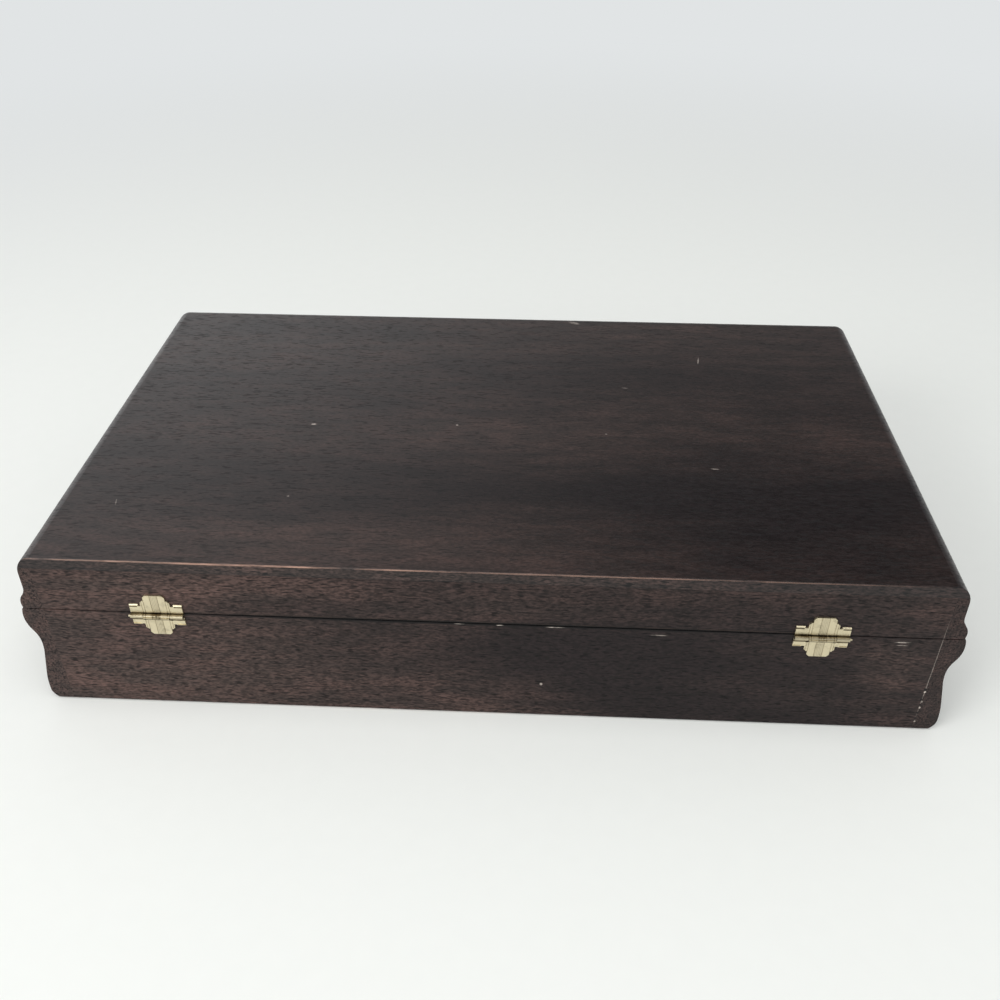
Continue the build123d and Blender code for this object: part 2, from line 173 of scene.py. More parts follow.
def math_of(tree, how, first, second):
    """One sum or product of two values."""
    return add_node(tree, "ShaderNodeMath", {0: first, 1: second}, operation=how).outputs[0]


def distance(tree, value, place):
    """How far a value is from a place on the same line."""
    return math_of(tree, "ABSOLUTE", math_of(tree, "SUBTRACT", value, place), 0.0)


def spots(tree, place, marks):
    """The sum of soft-edged marks, each (centre in mm, half sizes in mm, turn in degrees, strength)."""
    total = 0.0
    for centre, half_sizes, turn, strength in marks:
        local = add_node(
            tree, "ShaderNodeMapping",
            {
                "Vector": place,
                "Location": [value * MM for value in centre],
                "Rotation": [math.radians(value) for value in turn],
                "Scale": [value * MM for value in half_sizes],
            },
            vector_type="TEXTURE",
        ).outputs[0]
        away = add_node(tree, "ShaderNodeVectorMath", {0: local}, operation="LENGTH").outputs["Value"]
        mark = ramp(tree, away, FULL_STRENGTH, 1.0, strength, 0.0)
        total = math_of(tree, "ADD", mark, total)
    return total


# ---- what a user may change ----
class ChestWood(bpy.types.PropertyGroup):
    """Stain, lacquer and grain of the mahogany."""

    dark: bpy.props.FloatVectorProperty(
        name="Dark stain", description="Stain where it took most", subtype="COLOR", size=4,
        default=linear("#1E1617"), min=0, max=1,
    )
    brown: bpy.props.FloatVectorProperty(
        name="Brown stain", description="Stain where the wood took less of it", subtype="COLOR", size=4,
        default=linear("#453834"), min=0, max=1,
    )
    red: bpy.props.FloatVectorProperty(
        name="Red wood", description="Red of the wood under the stain", subtype="COLOR", size=4,
        default=linear("#5A433D"), min=0, max=1,
    )
    # this near-black also paints the shade in the gap of the seam between lid and base
    pore: bpy.props.FloatVectorProperty(
        name="Pores", description="Filled pores and grime", subtype="COLOR", size=4,
        default=linear("#080607"), min=0, max=1,
    )
    worn: bpy.props.FloatVectorProperty(
        name="Worn edge", description="Wood rubbed through the stain", subtype="COLOR", size=4,
        default=linear("#B28B78"), min=0, max=1,
    )
    bare: bpy.props.FloatVectorProperty(
        name="Bare wood", description="Nicks and dust in the scratches", subtype="COLOR", size=4,
        default=linear("#DCCFC4"), min=0, max=1,
    )
    gloss_roughness: bpy.props.FloatProperty(
        name="Lacquer roughness", description="Roughness of the satin lacquer", default=0.42,
        min=0, max=1,
    )
    top_roughness: bpy.props.FloatProperty(
        name="Top roughness", description="Roughness of the thicker lacquer on the top", default=0.33,
        min=0, max=1,
    )
    pore_length: bpy.props.FloatProperty(
        name="Pore length", description="Length of a pore seen along the grain", default=0.0026,
        min=0.001, max=0.03, precision=4, unit="LENGTH",
    )
    pore_width: bpy.props.FloatProperty(
        name="Pore width", description="Real pores are half as wide, too fine to show", default=0.0005,
        min=0.0002, max=0.002, precision=5, unit="LENGTH",
    )
    pore_depth: bpy.props.FloatProperty(
        name="Pore depth", description="Depth of pores left open under the lacquer", default=0.00005,
        min=0, max=0.0005, precision=6, unit="LENGTH",
    )


class ChestCloth(bpy.types.PropertyGroup):
    """Flannel of the lining and the racks."""

    lining: bpy.props.FloatVectorProperty(
        name="Lining", description="Brushed flannel on the walls and the floor", subtype="COLOR", size=4,
        default=linear("#5A4034"), min=0, max=1,
    )
    rack: bpy.props.FloatVectorProperty(
        name="Racks", description="Brushed flannel on racks and dividers", subtype="COLOR", size=4,
        default=linear("#513A30"), min=0, max=1,
    )
    thread: bpy.props.FloatProperty(
        name="Thread spacing", description="Real thread is finer; this is as coarse as it needs to show",
        default=0.0007, min=0.0002, max=0.003, precision=5, unit="LENGTH",
    )
    roll: bpy.props.FloatProperty(
        name="Slot edge", description="Radius of the cloth where it turns into a slot", default=0.0015,
        min=0.0003, max=0.0019, precision=5, unit="LENGTH",
    )
    swell: bpy.props.FloatProperty(
        name="Swell", description="How much the cloth lifts off its card here and there",
        default=0.00015, min=0, max=0.001, precision=5, unit="LENGTH",
    )


class ChestBrass(bpy.types.PropertyGroup):
    """Finish of the hinges."""

    colour: bpy.props.FloatVectorProperty(
        name="Brass", description="Pale plated brass", subtype="COLOR", size=4,
        default=linear("#DDD1B2"), min=0, max=1,
    )
    # this colour also paints the shade on and beside the knuckles and in the creases
    tarnish_and_shade: bpy.props.FloatVectorProperty(
        name="Tarnish", description="Dull film in the pressed lines", subtype="COLOR", size=4,
        default=linear("#574B36"), min=0, max=1,
    )
    knurl: bpy.props.FloatProperty(
        name="Knurl spacing", description="Between the ribs of the band up the middle of a leaf",
        default=0.0007, min=0.0002, max=0.003, precision=5, unit="LENGTH",
    )
    roughness: bpy.props.FloatProperty(
        name="Roughness", description="Roughness of the pressed sheet", default=0.34, min=0, max=1,
    )


class ChestStudio(bpy.types.PropertyGroup):
    """Camera, light and floor."""

    camera_place: bpy.props.FloatVectorProperty(
        name="Camera", description="Place of the camera", size=3, subtype="TRANSLATION", unit="LENGTH",
        default=(-0.02295, 0.4669, 0.3815), precision=4,
    )
    camera_aim: bpy.props.FloatVectorProperty(
        name="Aim", description="Point in the middle of the picture", size=3, subtype="TRANSLATION",
        unit="LENGTH", default=(-0.00101, 0.0131, 0.045), precision=4,
    )
    camera_lens: bpy.props.FloatProperty(
        name="Lens", description="Focal length on a 36 mm sensor, in millimetres", default=36.72,
        min=10, max=200,
    )
    floor: bpy.props.FloatVectorProperty(
        name="Floor", description="Pale floor", subtype="COLOR", size=4,
        default=linear("#F1F2EE"), min=0, max=1,
    )
    wall: bpy.props.FloatVectorProperty(
        name="Background", description="Pale surroundings", subtype="COLOR", size=4,
        default=linear("#E1E4E5"), min=0, max=1,
    )
    fill: bpy.props.FloatProperty(
        name="Fill", description="Strength of the light from all round", default=0.58, min=0, max=2,
    )
    dim_side: bpy.props.FloatProperty(
        name="Dim side", description="How bright the lacquer mirrors the room away from the window",
        default=0.04, min=0, max=1,
    )
    key_power: bpy.props.FloatProperty(
        name="Key lamp", description="Power of the large lamp overhead", default=32.0,
        min=0, max=500, unit="POWER",
    )
    window_power: bpy.props.FloatProperty(
        name="Window lamp", description="Power of the lamp on the window's side", default=24.0,
        min=0, max=500, unit="POWER",
    )


# ---- pieces ----
def add_piece(name, mesh, material, body, replaced):
    """Put a finished mesh in the scene as a piece that rides on a body and stands for CAD nodes."""
    piece = bpy.data.objects.new(name, mesh)
    bpy.context.scene.collection.objects.link(piece)
    mesh.materials.append(material)
    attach(piece, body)
    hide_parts(*replaced)
    return piece


def body_of(node):
    """The body that a CAD node rides on."""
    return frame["nodes"][node]["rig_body"]


def smooth(mesh, angle=40.0):
    """Shade a mesh smooth, with its sharper edges kept."""
    mesh.shade_smooth()
    mesh.set_sharp_from_angle(angle=math.radians(angle))


def paint(material, *nodes):
    """Give CAD nodes their material."""
    for node in nodes:
        for slot in frame["nodes"][node].material_slots:
            slot.material = material


def rounded_steps(length, radius, spacing):
    """Distances across a board: close together in its rounded edges and evenly spaced between."""
    turns = [radius * (1 - math.cos(math.radians(angle))) for angle in (0, 25, 50, 70, 90)]
    count = max(2, round((length - 2 * radius) / spacing))
    inner = [radius + (length - 2 * radius) * i / count for i in range(1, count)]
    return turns + inner + [length - step for step in reversed(turns)]


def covered_board(name, low, high, swell, radius, spacing=0.008):
    """A thin board under cloth: rounded all round, with the cloth lifting a little here and there."""
    size = high - low
    thin = min(range(3), key=lambda i: size[i])
    wide, tall = [i for i in range(3) if i != thin]
    across = rounded_steps(size[wide], radius, spacing)
    upward = rounded_steps(size[tall], radius, spacing)

    def share(step, length):
        inside = min(step, length - step, radius) / radius
        return math.sqrt(max(0.0, 1 - (1 - inside) ** 2))

    shell = bmesh.new()
    sides = []
    for face in (-1, 1):
        grid = []
        for step in across:
            row = []
            for rise in upward:
                fullness = share(step, size[wide]) * share(rise, size[tall])
                point = Vector((0, 0, 0))
                point[wide] = low[wide] + step
                point[tall] = low[tall] + rise
                ripple = noise.noise(point * 45) * swell * fullness
                point[thin] = (low[thin] + high[thin]) / 2 + face * (fullness * size[thin] / 2 + ripple)
                row.append(shell.verts.new(point))
            grid.append(row)
        sides.append(grid)
        for i in range(len(across) - 1):
            for j in range(len(upward) - 1):
                corners = [grid[i][j], grid[i + 1][j], grid[i + 1][j + 1], grid[i][j + 1]]
                shell.faces.new(corners if face > 0 else corners[::-1])
    bmesh.ops.remove_doubles(shell, verts=shell.verts, dist=1e-6)
    bmesh.ops.recalc_face_normals(shell, faces=shell.faces)
    mesh = bpy.data.meshes.new(name)
    shell.to_mesh(mesh)
    shell.free()
    smooth(mesh, 60)
    return mesh


def comb_outline(low, high, slots, inset, roll):
    """Outline of a slotted rack seen from the front, drawn inwards by an inset; slots open upwards."""
    centres, width, depth = slots
    points = [(low[0] + inset, low[2])]

    def arc(centre_x, centre_z, radius, start, end):
        for i in range(6):
            turn = math.radians(start + (end - start) * i / 5)
            points.append((centre_x + radius * math.cos(turn), centre_z + radius * math.sin(turn)))

    shoulder = high[2] - roll
    arc(low[0] + roll, shoulder, roll - inset, 180, 90)
    for centre in centres:
        arc(centre - width / 2 - roll, shoulder, roll - inset, 90, 0)
        arc(centre, high[2] - depth + width / 2, width / 2 + inset, 180, 270)
        arc(centre, high[2] - depth + width / 2, width / 2 + inset, 270, 360)
        arc(centre + width / 2 + roll, shoulder, roll - inset, 180, 90)
    arc(high[0] - roll, shoulder, roll - inset, 90, 0)
    points.append((high[0] - inset, low[2]))
    return points


def covered_comb(name, low, high, slots, roll, hanging):
    """A slotted rack under cloth, its edges rolled; a hanging rack has its slots below."""
    turns = [math.radians(angle) for angle in (90, 60, 30, 0)]
    rim = roll * 0.85
    rings = [(low[1] + rim * (1 - math.sin(t)), rim * (1 - math.cos(t))) for t in turns]
    rings += [(high[1] - rim * (1 - math.sin(t)), rim * (1 - math.cos(t))) for t in reversed(turns)]
    shell = bmesh.new()
    loops = []
    for y, inset in rings:
        loop = []
        for x, z in comb_outline(low, high, slots, inset, roll):
            loop.append(shell.verts.new((x, y, low[2] + high[2] - z if hanging else z)))
        loops.append(loop)
    for first, second in zip(loops, loops[1:]):
        for i in range(len(first)):
            j = (i + 1) % len(first)
            shell.faces.new((first[i], first[j], second[j], second[i]))
    shell.faces.new(loops[0])
    shell.faces.new(loops[-1][::-1])
    bmesh.ops.remove_doubles(shell, verts=shell.verts, dist=1e-6)
    bmesh.ops.recalc_face_normals(shell, faces=shell.faces)
    mesh = bpy.data.meshes.new(name)
    shell.to_mesh(mesh)
    shell.free()
    smooth(mesh, 50)
    return mesh


def grey(tree, value):
    """One value as a grey colour, to multiply another colour by."""
    return add_node(tree, "ShaderNodeCombineColor", {0: value, 1: value, 2: value}).outputs[0]


# ---- materials ----
# How far a coat of lacquer evens out the wood: how much it mirrors, how much of the grain's
# contrast shows through it, a factor of painted shade that darkens the top, lit most from above,
# and the share of a pore left open.
THIN_COAT = {"mirroring": 0.2, "contrast": 0.74, "painted_shade_factor": 1.0, "open_pores": 0.7}
THICK_COAT = {"mirroring": 0.32, "contrast": 0.46, "painted_shade_factor": 0.74, "open_pores": 0.2}
# the thick coat of the top stops at its back edge, which looks like the rail below it
COAT_END = (0.1274, 0.1279)
EDGE_CONTRAST = 0.95
# less painted shade on the top's back edge, which faces the same way as the rail
EDGE_PAINTED_SHADE = 0.86

# Length and width of a cell of noise. A cell holds about two streaks, so it is twice their size.
CLOUD_CELL = (0.20, 0.04)
BAND_CELL = (0.030, 0.007)
MOTTLE_CELL = (0.0048, 0.0015)
FLECK_CELL = (0.0022, 0.0009)
RUBBING_CELL = (0.02, 0.003)


def mahogany(name, wood, axis, seed, marks=None, thick=False):
    """Mahogany, planed, stained nearly black and brushed with a thin satin lacquer.

    The stain clouds in long soft bands between near-black and red-brown, short dark pores run with
    the grain, and the lacquer gives a soft grey sheen. Edges are rubbed through to the red wood.
    Thick lacquer is smoother, mirrors more and shows less of the grain, and the top's colour is
    darkened as painted shade, less on its back edge. Marks may hold clouds (stain that also paints
    light and shade), worn, grime (painted shade in the seam's gap and a darker
    line along a joint), nicks and holes, each as spots() takes them.
    """
    marks = marks or {}
    coat = THICK_COAT if thick else THIN_COAT
    satin = wood.top_roughness if thick else wood.gloss_roughness
    material, tree, shader, place = start_material(name)
    grain = add_node(tree, "ShaderNodeVectorMath", {0: place, 1: seed}, operation="ADD").outputs[0]
    contrast, painted_shade_factor = coat["contrast"], coat["painted_shade_factor"]
    if thick:
        behind = add_node(tree, "ShaderNodeSeparateXYZ", {0: place}).outputs["Y"]
        contrast = ramp(tree, behind, *COAT_END, contrast, EDGE_CONTRAST)
        # the painted shade is lighter on the top's back edge
        painted_shade_factor = ramp(tree, behind, *COAT_END, painted_shade_factor, EDGE_PAINTED_SHADE)
    clouds = streaks(tree, grain, axis, *CLOUD_CELL, 3.0, 0.5)
    bands = streaks(tree, grain, axis, *BAND_CELL, 3.0)
    mottle = streaks(tree, grain, axis, *MOTTLE_CELL, 3.0)
    flecks = streaks(tree, grain, axis, *FLECK_CELL, 1.0)
    pores = streaks(tree, grain, axis, 2 * wood.pore_length, 2 * wood.pore_width, 1.0)
    pores = ramp(tree, pores, 0.55, 0.66)
    stained = ramp(tree, clouds, 0.3, 0.7, 0.18, 0.44)
    # clouds of stain placed on each board, also painted light and shade: lighter on the window's side
    # (+X), darker away from it
    stained = math_of(tree, "ADD", stained, spots(tree, place, marks.get("clouds", ())))
    colour = blend(tree, stained, wood.dark, wood.brown)
    redness = math_of(tree, "MULTIPLY", ramp(tree, bands, 0.35, 0.7, 0.0, 0.55), stained)
    colour = blend(tree, redness, colour, wood.red)
    for texture, swing in ((bands, 0.15), (mottle, 0.3), (flecks, 0.62)):
        shade = math_of(tree, "MULTIPLY", ramp(tree, texture, 0.28, 0.72, -swing, swing), contrast)
        colour = blend(tree, 1.0, colour, grey(tree, math_of(tree, "ADD", shade, 1.0)), "MULTIPLY")
    # painted shade: the thick-coated top is darkened because it is lit most from above
    colour = blend(tree, 1.0, colour, grey(tree, painted_shade_factor), "MULTIPLY")
    colour = blend(tree, math_of(tree, "MULTIPLY", pores, contrast), colour, wood.pore)
    rubbing = ramp(tree, streaks(tree, grain, axis, *RUBBING_CELL, 4.0), 0.3, 0.6)
    rubbed = math_of(tree, "MULTIPLY", spots(tree, place, marks.get("worn", ())), rubbing)
    colour = blend(tree, rubbed, colour, wood.worn)
    # painted shade in the gap of the seam, and a darker joint line, in the near-black of the pores
    colour = blend(tree, spots(tree, place, marks.get("grime", ())), colour, wood.pore)
    crumbling = ramp(tree, flecks, 0.35, 0.6, 0.35, 1.0)
    nicked = math_of(tree, "MULTIPLY", spots(tree, place, marks.get("nicks", ())), crumbling)
    colour = blend(tree, nicked, colour, wood.bare)
    colour = blend(tree, spots(tree, place, marks.get("holes", ())), colour, wood.pore)
    roughness = ramp(tree, mottle, 0.2, 0.8, satin - 0.05, satin + 0.07)
    roughness = math_of(tree, "ADD", roughness, math_of(tree, "MULTIPLY", pores, 0.2))
    height = math_of(tree, "SUBTRACT", math_of(tree, "MULTIPLY", flecks, 0.6), pores)
    finish_shader(tree, shader, colour, roughness, height, wood.pore_depth * coat["open_pores"])
    shader.inputs["Specular IOR Level"].default_value = coat["mirroring"]
    return material


def plywood(name, wood):
    """Thin plywood, knife-cut and stained on one side: open brown veneer, dull and dry."""
    material, tree, shader, place = start_material(name)
    figure = streaks(tree, place, ALONG_X, 0.16, 0.014, 4.0, 1.2)
    fibre = streaks(tree, place, ALONG_X, 0.012, 0.0008, 3.0)
    colour = blend(tree, ramp(tree, figure, 0.3, 0.7), linear("#4A342A"), linear("#6A4C3A"))
    colour = blend(tree, 1.0, colour, grey(tree, ramp(tree, fibre, 0.25, 0.75, 0.7, 1.15)), "MULTIPLY")
    roughness = ramp(tree, fibre, 0.2, 0.8, 0.62, 0.8)
    finish_shader(tree, shader, colour, roughness, fibre, wood.pore_depth)
    return material


# sizes of the flannel's tufts and of the patches flattened by handling, and the height of its nap
NAP_SIZE = 0.0011
HANDLED_SIZE = 0.03
NAP_DEPTH = 0.0003


def flannel(name, colour, cloth):
    """Cotton flannel, woven and brushed: a short nap that hides most of the weave and looks soft."""
    material, tree, shader, place = start_material(name)
    nap = patches(tree, place, NAP_SIZE, 4.0)
    handled = patches(tree, place, HANDLED_SIZE, 3.0)
    weave = 0.0
    for direction in ("X", "Y", "Z"):
        threads = ribs(tree, place, cloth.thread, 0.6, 1.0, direction)
        weave = math_of(tree, "ADD", threads, weave)
    lift = math_of(tree, "ADD", nap, math_of(tree, "MULTIPLY", weave, 0.16))
    tinted = blend(tree, 1.0, colour, grey(tree, ramp(tree, lift, 0.35, 1.1, 0.6, 1.3)), "MULTIPLY")
    brushed = ramp(tree, handled, 0.35, 0.65, 0.88, 1.1)
    tinted = blend(tree, 1.0, tinted, grey(tree, brushed), "MULTIPLY")
    roughness = ramp(tree, lift, 0.3, 1.1, 0.86, 0.97)
    finish_shader(tree, shader, tinted, roughness, lift, NAP_DEPTH)
    shader.inputs["Sheen Weight"].default_value = 0.35
    shader.inputs["Sheen Roughness"].default_value = 0.5
    shader.inputs["Specular IOR Level"].default_value = 0.2
    return material


# millimetres from the middle of a leaf to its pressed lines
PRESSED_LINES = (1.75, 5.1, 6.2)
# painted shade above the knuckles, on them and below them, where they shade the lower leaf: lowest
# and highest place in millimetres from the pin, and strength
KNUCKLE_SHADE = ((0.7, 1.7, 0.8), (-0.9, 0.6, 0.35), (-3.0, -1.9, 0.9))
# a crease under the bend of each end, darkened as painted shade
SHADED_CREASE_ABOVE_PIN = 0.00515
# how far from the middle of the leaf the painted shade of a crease starts, and from where it has
# its full strength
SHADED_CREASE_START = (0.0083, 0.0087)
KNURLED_EDGE = (0.0015, 0.0018)
ROLLING_LINES = (0.006, 0.0005)
FILM_SIZE = 0.004
BRASS_RELIEF = 0.00004


def pale_brass(name, brass, hinge_x, pin_z):
    """Sheet brass, pressed and thinly plated: pale and satin, dull in its pressed lines.

    A knurled band runs up the middle of each leaf between two pressed lines. Painted shade darkens
    the leaves beside the knuckles, the knuckles themselves and the creases of the bent ends.
    """
    material, tree, shader, place = start_material(name)
    parts = add_node(tree, "ShaderNodeSeparateXYZ", {0: place}).outputs
    # both hinges are alike, and one stands where the other is mirrored
    from_middle = distance(tree, math_of(tree, "ABSOLUTE", parts["X"], 0.0), hinge_x)
    lines = 0.0
    for line in PRESSED_LINES:
        pressed = ramp(tree, distance(tree, from_middle, line * MM), 0.0001, 0.0003, 0.3, 0.0)
        lines = math_of(tree, "ADD", pressed, lines)
    from_pin = math_of(tree, "SUBTRACT", parts["Z"], pin_z)
    # painted shade beside and on the knuckles
    for low, high, strength in KNUCKLE_SHADE:
        half = (high - low) / 2 * MM
        away = distance(tree, from_pin, (low + high) / 2 * MM)
        lines = math_of(tree, "ADD", ramp(tree, away, half * 0.7, half * 1.2, strength, 0.0), lines)
    # painted shade in the crease under each bent end
    crease_shade = ramp(tree, distance(tree, from_pin, SHADED_CREASE_ABOVE_PIN), 0.0002, 0.0005, 0.8, 0.0)
    crease_shade = math_of(tree, "MULTIPLY", crease_shade, ramp(tree, from_middle, *SHADED_CREASE_START))
    lines = math_of(tree, "ADD", crease_shade, lines)
    band = ramp(tree, from_middle, *KNURLED_EDGE, 1.0, 0.0)
    knurled = math_of(tree, "MULTIPLY", band, ribs(tree, place, brass.knurl, 0.4, 2.0))
    rolled = streaks(tree, place, ALONG_Z, *ROLLING_LINES, 3.0)
    film = patches(tree, place, FILM_SIZE, 4.0)
    dulled_and_shaded = ramp(tree, film, 0.5, 0.8, 0.0, 0.4)
    dulled_and_shaded = math_of(tree, "ADD", dulled_and_shaded, math_of(tree, "MULTIPLY", knurled, 0.2))
    dulled_and_shaded = math_of(tree, "ADD", dulled_and_shaded, math_of(tree, "MULTIPLY", band, 0.1))
    dulled_and_shaded = math_of(tree, "ADD", dulled_and_shaded, lines)
    # tarnish, with the painted shade of the knuckles and creases
    colour = blend(tree, dulled_and_shaded, brass.colour, brass.tarnish_and_shade)
    roughness = ramp(tree, rolled, 0.3, 0.7, brass.roughness - 0.06, brass.roughness + 0.12)
    height = math_of(tree, "ADD", rolled, math_of(tree, "MULTIPLY", film, 0.5))
    height = math_of(tree, "SUBTRACT", height, math_of(tree, "MULTIPLY", knurled, 1.5))
    finish_shader(tree, shader, colour, roughness, height, BRASS_RELIEF)
    shader.inputs["Metallic"].default_value = 1.0
    return material


# ---- wear, clouds of stain and painted light and shade, each as (centre in mm, half sizes in mm, turn in degrees, strength) ----
# the sharp edge between the top and the back, rubbed bright on one half
TOP_EDGE = (
    ((120, 128, 90.1), (125, 0.7, 0.7), (0, 0, 0), 0.8),
    ((-10, 128, 90.1), (110, 0.6, 0.6), (0, 0, 0), 0.38),
    ((-120, 128, 90.1), (95, 0.5, 0.5), (0, 0, 0), 0.26),
)
TOP_MARKS = {
    # clouds of stain, mostly lighter towards the right end (+X) and darker towards the left end at the
    # back, which also paint the light from the window's side and the shade away from it
    "clouds": (
        ((80, 15, 90), (190, 26, 9), (0, 0, 1), 0.2),
        ((110, 115, 90), (190, 26, 9), (0, 0, 0), 0.3),
        ((-60, -104, 90), (170, 16, 9), (0, 0, 0), 0.15),
        ((20, 66, 90), (230, 26, 9), (0, 0, 1), -0.15),
        ((-60, -55, 90), (190, 30, 9), (0, 0, 0), -0.12),
        ((-130, 70, 90), (120, 70, 9), (0, 0, 0), -0.28),
    ),
    "worn": TOP_EDGE,
    "nicks": (
        ((98.4, 11.2, 90.4), (1.9, 0.6, 0.5), (0, 0, 4), 0.9),
        ((22.1, 8.5, 90.4), (0.9, 0.6, 0.5), (0, 0, 0), 0.9),
        ((98.3, 76.1, 90.4), (0.8, 0.6, 0.5), (0, 0, 0), 0.6),
        ((-41.3, -113.9, 90.4), (5.0, 1.8, 0.5), (0, 0, -20), 0.3),
        ((-113.6, -68.3, 90.4), (0.5, 5.5, 0.5), (0, 0, -8), 0.35),
        ((-110.1, 43.2, 90.4), (2.6, 0.5, 0.5), (0, 0, -3), 0.5),
        ((-69.1, -34.8, 90.4), (2.6, 0.5, 0.5), (0, 0, -8), 0.25),
        ((-56.8, 13.5, 90.4), (0.8, 0.5, 0.5), (0, 0, 0), 0.5),
        ((179.4, 84.8, 90.4), (0.4, 3.2, 0.5), (0, 0, 12), 0.25),
    ),
}
# filler missing here and there along one joint, between the back board and an end board
JOINT_HOLES = (
    ((-205.2, 128, 27.2), (1.0, 0.6, 1.2), (0, 0, 0), 1.0),
    ((-204.9, 128, 20.5), (0.9, 0.6, 1.1), (0, 0, 0), 1.0),
    ((-205.3, 128, 16.8), (0.9, 0.6, 1.0), (0, 0, 0), 1.0),
    ((-205.3, 128, 11.4), (0.8, 0.6, 0.9), (0, 0, 0), 1.0),
    ((-205.3, 128, 7.6), (0.8, 0.6, 0.9), (0, 0, 0), 1.0),
)
JOINT_FILLER = (
    ((-205.3, 128, 38.0), (0.3, 0.6, 42.0), (0, 0, 0), 0.3),
    ((-205.4, 128, 25.6), (0.7, 0.6, 0.8), (0, 0, 0), 0.8),
    ((-205.6, 128, 18.9), (0.6, 0.6, 0.6), (0, 0, 0), 0.6),
    ((-205.5, 128, 14.9), (0.7, 0.6, 0.8), (0, 0, 0), 0.8),
    ((-205.4, 128, 5.4), (0.7, 0.6, 0.7), (0, 0, 0), 0.7),
)
BACK_MARKS = {
    # clouds of stain; the lighter ones towards the right end (+X), on the window's side, also paint the
    # light that falls there
    "clouds": (
        ((170, 128, 40), (120, 9, 70), (0, 0, 0), 0.42),
        ((90, 128, 8), (190, 9, 30), (0, 0, 0), 0.3),
        ((120, 128, 78), (110, 9, 12), (0, 0, 0), 0.35),
        ((-30, 128, 46), (100, 9, 24), (0, 0, 0), -0.14),
        ((-110, 128, 30), (130, 9, 70), (0, 0, 0), -0.24),
        ((-185, 128, 40), (20, 9, 26), (0, 0, 0), 0.25),
    ),
    "worn": (
        *TOP_EDGE,
        # the eased edge above the seam and the bottom edge
        ((0, 128, 60.7), (215, 0.6, 0.4), (0, 0, 0), 0.14),
        ((40, 128, 0.3), (150, 1.2, 0.5), (0, 0, 0), 0.5),
    ),
    # painted shade in the gap of the seam between lid and base, reaching onto the faces inside it, and a
    # darker line along the joint below the top's back edge
    "grime": (
        ((0, 127.9, 59.8), (260, 3.0, 1.7), (0, 0, 0), 1.0),
        ((0, 128, 84.4), (260, 0.6, 0.3), (0, 0, 0), 0.3),
    ),
    "holes": JOINT_HOLES,
    "nicks": (
        ((-79.0, 128, 56.2), (4.8, 0.5, 0.45), (0, 0, 0), 0.35),
        ((-188.0, 128, 56.9), (4.4, 0.5, 0.5), (0, 1, 0), 0.7),
        ((-188.0, 128, 55.0), (3.6, 0.5, 0.3), (0, 0, 0), 0.4),
        ((-32.0, 128, 59.0), (5.5, 0.7, 0.35), (0, 0, 0), 0.7),
        ((-6.5, 128, 59.2), (2.2, 0.7, 0.35), (0, 0, 0), 0.7),
        ((12.0, 128, 59.2), (3.0, 0.7, 0.3), (0, 0, 0), 0.5),
        ((-26.1, 128, 21.8), (0.9, 0.5, 1.0), (0, 0, 0), 0.9),
        ((-74.5, 128, 90.0), (1.5, 0.7, 0.6), (0, 0, 0), 1.0),
        ((-108.2, 128, 90.0), (0.9, 0.6, 0.5), (0, 0, 0), 0.9),
        *JOINT_FILLER,
    ),
}
# painted shade in the gap of the seam between lid and base, on the end boards
END_SEAM_SHADE = ((0, 0, 59.8), (260, 260, 1.4), (0, 0, 0), 1.0)
LEFT_END_MARKS = {"grime": (END_SEAM_SHADE,), "nicks": JOINT_FILLER, "holes": JOINT_HOLES}
RIGHT_END_MARKS = {
    # a lighter cloud of stain on the end board at the window's side, which also paints the light there
    "clouds": (((205, 128, 45), (60, 60, 90), (0, 0, 0), 0.35),),
    "worn": (((195.8, 128, 54.5), (1.6, 0.5, 0.6), (0, 0, 0), 0.5),),
    "grime": (END_SEAM_SHADE,),
}


# ---- operators ----
class CHEST_OT_wooden_case(bpy.types.Operator):
    """Stain and lacquer the boards of the base and the rails and panel of the lid"""

    bl_idname = "chest.wooden_case"
    bl_label = "Wooden case"

    def execute(self, context):
        wood = context.scene.chest_wood
        boards = (
            # side, direction and shift of the grain, marks, and the pieces cut from the board
            ("top", ALONG_X, (0.31, 0.17, 0.05), TOP_MARKS, "lid_top_panel"),
            ("back", ALONG_X, (1.13, 0.4, 0.21), BACK_MARKS, "base_back_board", "lid_back_rail"),
            ("front", ALONG_X, (2.4, 1.1, 0.6), None, "base_front_board", "lid_front_rail"),
            (
                "left_end", ALONG_Y, (3.3, 0.2, 0.9), LEFT_END_MARKS,
                "base_left_board", "lid_left_rail",
            ),
            (
                "right_end", ALONG_Y, (4.7, 0.8, 0.1), RIGHT_END_MARKS,
                "base_right_board", "lid_right_rail",
            ),
        )
        for side, axis, shift, marks, *nodes in boards:
            name = f"mahogany_{side}_satin_lacquer"
            paint(mahogany(name, wood, axis, shift, marks, thick=side == "top"), *nodes)
        return {"FINISHED"}


class CHEST_OT_bottom(bpy.types.Operator):
    """Finish the bottom panel in stained plywood"""

    bl_idname = "chest.bottom"
    bl_label = "Bottom panel"

    def execute(self, context):
        paint(plywood("plywood_bottom_stained", context.scene.chest_wood), "base_bottom_panel")
        return {"FINISHED"}


class CHEST_OT_linings(bpy.types.Operator):
    """Cover the walls, the floor and the underside of the top with flannel on card"""

    bl_idname = "chest.linings"
    bl_label = "Linings"

    def execute(self, context):
        cloth = context.scene.chest_cloth
        material = flannel("brown_flannel_lining", cloth.lining, cloth)
        for node in sorted(frame["nodes"]):
            if not node.endswith("_lining"):
                continue
            low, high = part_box(node)
            radius = min(high - low) / 2
            mesh = covered_board(node + "_cloth", low, high, cloth.swell, radius)
            add_piece(node + "_cloth", mesh, material, body_of(node), [node])
        return {"FINISHED"}


